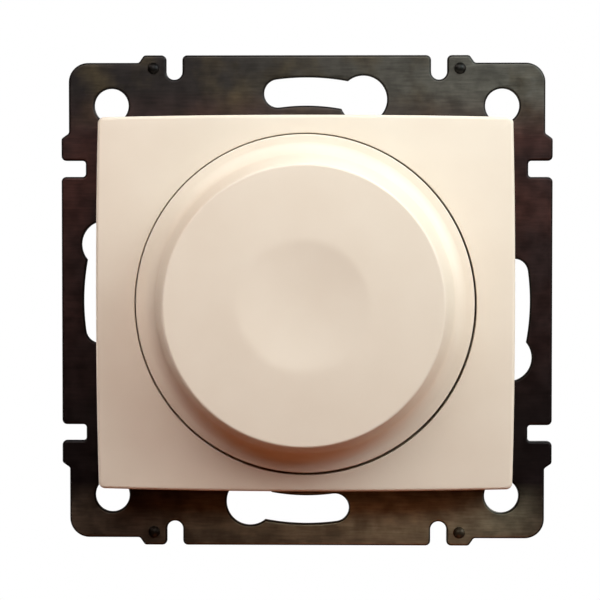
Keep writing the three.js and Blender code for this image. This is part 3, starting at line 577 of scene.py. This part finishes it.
# ---------------------------------------------------------------- cover plate
def plate_outline(inset, side_steps=36, corner_steps=10):
    """The bowed rectangle moved in by an inset, always with the same number of points."""
    half_x, half_y = PLATE_HALF[0] - inset, PLATE_HALF[1] - inset
    radius = max(PLATE_CORNER - inset, PLATE_CORNER_LEAST)

    def x_side(y):
        return half_x - PLATE_BOW * (y / half_y) ** 2

    def y_side(x):
        return half_y - PLATE_BOW * (x / half_x) ** 2

    end_y = half_y - PLATE_BOW - radius
    end_x = half_x - PLATE_BOW - radius
    quarter = []
    for i in range(side_steps // 2):
        y = end_y * i / (side_steps // 2)
        quarter.append((x_side(y), y))
    quarter += arc((x_side(end_y) - radius, y_side(end_x) - radius), radius, 0, 90, corner_steps)
    for i in range(1, side_steps // 2 + 1):
        x = end_x * (1 - i / (side_steps // 2))
        quarter.append((x, y_side(x)))
    mirrored = [(-x, y) for x, y in quarter[::-1]][1:]
    upper = quarter + mirrored
    lower = [(x, -y) for x, y in upper[::-1]][1:-1]
    return upper + lower


def face_height(x, y):
    """Height of the slightly crowned face."""
    crown = PLATE_CROWN[0] * (x / PLATE_HALF[0]) ** 2 + PLATE_CROWN[1] * (y / PLATE_HALF[1]) ** 2
    return PLATE_FRONT - crown


def plate_rings():
    """Rings of points that run once round the section: out of the dish, over the face, down the edge
    and back under it. Each ring has the same number of points, on the same bearings as the face's edge."""
    reference = plate_outline(PLATE_EDGE)
    angles = [math.atan2(y, x) for x, y in reference]
    rings = []

    def circle(radius):
        return [(radius * math.cos(a), radius * math.sin(a)) for a in angles]

    def opening(radius):
        return [(x + OPENING_AT[0], y + OPENING_AT[1]) for x, y in circle(radius)]

    def level(ring, height):
        rings.append([(x, y, height) for x, y in ring])

    def below_face(ring, drop):
        rings.append([(x, y, face_height(x, y) - drop) for x, y in ring])

    level(circle(DISH_HOLE), DISH_BACK)
    level(circle(DISH_HOLE), DISH_FLOOR)
    level(opening(OPENING - DISH_CORNER), DISH_FLOOR)
    level(opening(OPENING), DISH_FLOOR + DISH_CORNER)
    for i in range(5):
        a = math.radians(90 * i / 4)
        out = OPENING + OPENING_ROLL * (1 - math.cos(a))
        below_face(opening(out), OPENING_ROLL * (1 - math.sin(a)))
    start = opening(OPENING + OPENING_ROLL)
    for share in (0.12, 0.3, 0.5, 0.7, 0.88, 1.0):
        pairs = zip(start, reference)
        ring = [(a[0] + (b[0] - a[0]) * share, a[1] + (b[1] - a[1]) * share) for a, b in pairs]
        below_face(ring, 0)
    for i in range(1, 6):
        a = math.radians(90 * i / 5)
        below_face(plate_outline(PLATE_EDGE * (1 - math.sin(a))), PLATE_EDGE * (1 - math.cos(a)))
    level(plate_outline(0.0), PLATE_BACK + 0.8)
    level(plate_outline(0.0), PLATE_BACK + PLATE_CHAMFER)
    level(plate_outline(PLATE_CHAMFER), PLATE_BACK)
    level(plate_outline(PLATE_WALL - 0.1), PLATE_BACK)
    level(plate_outline(PLATE_WALL), PLATE_UNDERSIDE)
    level(circle(DISH_OUTSIDE), PLATE_UNDERSIDE)
    level(circle(DISH_OUTSIDE), DISH_BACK)
    return rings


def make_plate():
    """The hollow cover plate with its dish."""
    rings = plate_rings()
    count = len(rings[0])
    points = [p for ring in rings for p in ring]
    faces = []
    for r in range(len(rings)):
        a, b = r * count, ((r + 1) % len(rings)) * count
        faces += [(a + i, a + (i + 1) % count, b + (i + 1) % count, b + i) for i in range(count)]
    ivory = MATERIALS["ivory_plastic"]
    plate = new_piece("plate_moulding", points, faces, [ivory], "insert", ["cover_plate"])
    face_outwards(plate)


# ---------------------------------------------------------------- knob
def knob_profile():
    """Outside of the knob from the middle of its face to the edge of its flange, as (radius, z)."""
    floor_depth, rim, blend = DIMPLE

    def bowl(r):
        return KNOB_FACE - floor_depth * (1 - (r / rim) ** 2)

    profile = [(rim * share, bowl(rim * share)) for share in (0, 0.15, 0.3, 0.45, 0.6, 0.72, 0.82)]
    start, slope = rim - blend, 2 * floor_depth * (rim - blend) / rim**2
    for i in range(7):
        t = i / 6
        rise = bowl(start) + slope * 2 * blend * (t - t**2 / 2)
        profile.append((start + 2 * blend * t, min(rise, KNOB_FACE)))
    profile += [(13, KNOB_FACE), (17, KNOB_FACE)]
    profile += arc((KNOB_RIM[0], KNOB_FACE - KNOB_RIM[1]), KNOB_RIM[1], 90, 9, 6)
    profile.append(FLANK_MIDDLE)
    profile += arc((FLANK_FOOT[0] + FLANK_SWEEP, FLANK_FOOT[1]), FLANK_SWEEP, 193, 265, 12)
    profile.append((FLANGE - 0.43, FLANGE_FRONT + 0.02))
    profile += arc((FLANGE - FLANGE_ROLL, FLANGE_FRONT - FLANGE_ROLL), FLANGE_ROLL, 80, 0, 4)
    return profile


def make_knob():
    """The hollow knob, with a matt face and a glossier flank."""
    points, faces = lathe(knob_profile() + KNOB_INSIDE, 160)
    materials = [MATERIALS["ivory_plastic"], KNOB_MATT]
    piece = new_piece("knob_moulding", points, faces, materials, "knob_and_shaft", ["knob"])
    face_outwards(piece)
    for polygon in piece.data.polygons:
        centre = polygon.center
        radius = math.hypot(centre.x, centre.z) / MM
        if -centre.y / MM > KNOB_FACE - MATT_DEPTH and radius < KNOB_RIM[0] - 0.1:
            polygon.material_index = 1


# ---------------------------------------------------------------- return spring
def tube(path, radius, sides):
    """Points and faces of a round wire along a path, closed at both ends."""
    points, faces = [], []
    for i, here in enumerate(path):
        ahead = Vector(path[min(i + 1, len(path) - 1)]) - Vector(path[max(i - 1, 0)])
        out = Vector((here[0], here[1], 0)).normalized()
        over = ahead.normalized().cross(out)
        for k in range(sides):
            a = 2 * math.pi * k / sides
            points.append(tuple(Vector(here) + radius * (math.cos(a) * out + math.sin(a) * over)))
    for i in range(len(path) - 1):
        low, high = i * sides, (i + 1) * sides
        faces += [(low + k, low + (k + 1) % sides, high + (k + 1) % sides, high + k) for k in range(sides)]
    faces.append(tuple(range(sides)))
    faces.append(tuple(range(len(points) - sides, len(points))))
    return points, faces


def make_spring():
    """The coil under the plunger. Its first and last turns are closed up."""
    low, high = SPRING_FROM_TO
    closed, closed_rise = SPRING_CLOSED
    open_turns = SPRING_TURNS - 2 * closed
    open_height = high - low - 2 * SPRING_WIRE - 2 * closed * closed_rise
    steps = 32
    path = []
    for i in range(SPRING_TURNS * steps + 1):
        done = i / steps
        open_share = min(max(done - closed, 0), open_turns) / open_turns
        closed_part = min(done, closed) + max(done - closed - open_turns, 0)
        a = 2 * math.pi * done
        z = low + SPRING_WIRE + closed_rise * closed_part + open_height * open_share
        path.append((SPRING_RADIUS * math.cos(a), SPRING_RADIUS * math.sin(a), z))
    points, faces = tube(path, SPRING_WIRE, 10)
    wire = MATERIALS["spring_steel"]
    spring = new_piece("return_spring", points, faces, [wire], "insert", ["switch_spring"])
    face_outwards(spring)
    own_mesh(spring)


# ---------------------------------------------------------------- carried-over nodes
def soften(obj, width_mm):
    """Flat faces are merged and the edges between them rounded, as moulding or pressing leaves them."""
    merge = obj.modifiers.new("merge_flats", "DECIMATE")
    merge.decimate_type = "DISSOLVE"
    merge.angle_limit = math.radians(1.0)
    round_off = obj.modifiers.new("round_edges", "BEVEL")
    round_off.width = width_mm * MM
    round_off.segments = 2
    round_off.limit_method = "ANGLE"
    round_off.angle_limit = math.radians(40)
    round_off.harden_normals = True


def finish_nodes():
    """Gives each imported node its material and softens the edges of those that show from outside."""
    slots = {s["node"]: s["material_slot"] for s in frame["record"]["subparts"]}
    for name, obj in frame["nodes"].items():
        obj.data.materials.clear()
        obj.data.materials.append(MATERIALS[slots[name]])
        for start, width in EDGE_WIDTHS.items():
            if name.startswith(start):
                soften(obj, width)


make_strap()
make_plate()
make_knob()
make_spring()
finish_nodes()


# ---------------------------------------------------------------- stage, lights and camera
def seen_and_felt(tree, output, seen, felt):
    """A shader that is bright to the camera and dimmer to the light that reaches the object."""
    nodes, links = tree.nodes, tree.links
    path = nodes.new("ShaderNodeLightPath")
    mix = nodes.new("ShaderNodeMixShader")
    links.new(path.outputs["Is Camera Ray"], mix.inputs["Fac"])
    links.new(felt, mix.inputs[1])
    links.new(seen, mix.inputs[2])
    links.new(mix.outputs[0], output)


def make_world():
    """White to the camera, and a faint warm glow to the object."""
    world = bpy.data.worlds.new("studio")
    bpy.context.scene.world = world
    world.use_nodes = True
    tree = world.node_tree
    tree.nodes.clear()
    out = tree.nodes.new("ShaderNodeOutputWorld")
    seen = tree.nodes.new("ShaderNodeBackground")
    seen.inputs["Color"].default_value = (1, 1, 1, 1)
    seen.inputs["Strength"].default_value = 1.0
    felt = tree.nodes.new("ShaderNodeBackground")
    felt.inputs["Color"].default_value = (0.60, 0.16, 0.08, 1)
    felt.inputs["Strength"].default_value = 0.08
    seen_and_felt(tree, out.inputs["Surface"], seen.outputs[0], felt.outputs[0])


def make_floor():
    """A wide pale floor well below the object, which sends a little warm light back up to it."""
    mesh = bpy.data.meshes.new("floor")
    reach, level = 3.0, -0.45
    corners = [(x * reach, y * reach, level) for x, y in ((-1, -1), (1, -1), (1, 1), (-1, 1))]
    mesh.from_pydata(corners, [], [(0, 1, 2, 3)])
    floor = bpy.data.objects.new("floor", mesh)
    bpy.context.scene.collection.objects.link(floor)
    material = bpy.data.materials.new("pale_floor")
    material.use_nodes = True
    tree = material.node_tree
    seen = tree.nodes.new("ShaderNodeEmission")
    seen.inputs["Color"].default_value = (1, 1, 1, 1)
    felt = tree.nodes.new("ShaderNodeBsdfDiffuse")
    felt.inputs["Color"].default_value = (0.10, 0.03, 0.015, 1)
    seen_and_felt(tree, tree.nodes["Material Output"].inputs["Surface"], seen.outputs[0], felt.outputs[0])
    mesh.materials.append(material)


def add_light(name, around, height, distance, size, power, colour):
    """A square soft light aimed at the middle of the strap. Its place is given by the angle around the
    plate from the right, the height of its beam above the plate in degrees, and its distance in metres."""
    data = bpy.data.lights.new(name, "AREA")
    data.size = size
    data.energy = power
    data.color = colour
    light = bpy.data.objects.new(name, data)
    turned, raised = math.radians(around), math.radians(height)
    out = math.cos(raised) * distance
    light.location = (math.cos(turned) * out, -math.sin(raised) * distance, math.sin(turned) * out)
    light.rotation_euler = (-light.location).to_track_quat("-Z", "Y").to_euler()
    light.visible_camera = False
    bpy.context.scene.collection.objects.link(light)


def make_lights():
    """Key lights from above and from the right, weak fills at the sides, and a warm bounce from below.
    The corner lamp lifts the strap's upper right corner. The two back lights reach only the rear."""
    add_light("top_softbox", 90, 54, 0.22, 0.16, 0.240, (1.0, 0.975, 0.95))
    add_light("top_lamp", 85, 32, 0.30, 0.12, 0.02, (0.88, 0.90, 0.90))
    add_light("right_softbox", 34, 24, 0.60, 0.30, 1.36, (0.97, 0.96, 1.0))
    add_light("right_fill", 14, 12, 0.40, 0.20, 0.36, (1.0, 0.90, 0.82))
    add_light("left_fill", 138, 10, 0.40, 0.20, 0.33, (1.0, 0.88, 0.83))
    add_light("back_key", 55, -40, 0.50, 0.40, 2.2, (1.0, 0.98, 0.96))
    add_light("back_fill", 200, -35, 0.50, 0.40, 1.1, (1.0, 0.97, 0.94))
    add_light("warm_bounce", -85, 27, 0.40, 0.25, 0.22, (1.0, 0.31, 0.12))
    add_light("left_softbox", 112, 42, 0.20, 0.12, 0.078, (1.0, 0.96, 0.98))
    add_light("corner_lamp", 45, 35, 0.14, 0.07, 0.06, (0.70, 0.96, 1.0))


def make_camera():
    """A long lens, a little above and to the right of the knob's axis."""
    data = bpy.data.cameras.new("camera")
    data.sensor_width = 36
    data.lens = 166.6
    camera = bpy.data.objects.new("camera", data)
    camera.location = (0.0095, -0.400, 0.0165)
    aim = Vector((-0.00096, 0, 0.00012))
    camera.rotation_euler = (aim - camera.location).to_track_quat("-Z", "Y").to_euler()
    bpy.context.scene.collection.objects.link(camera)
    bpy.context.scene.camera = camera


make_world()
make_floor()
make_lights()
make_camera()
bpy.context.scene.view_settings.view_transform = "Standard"
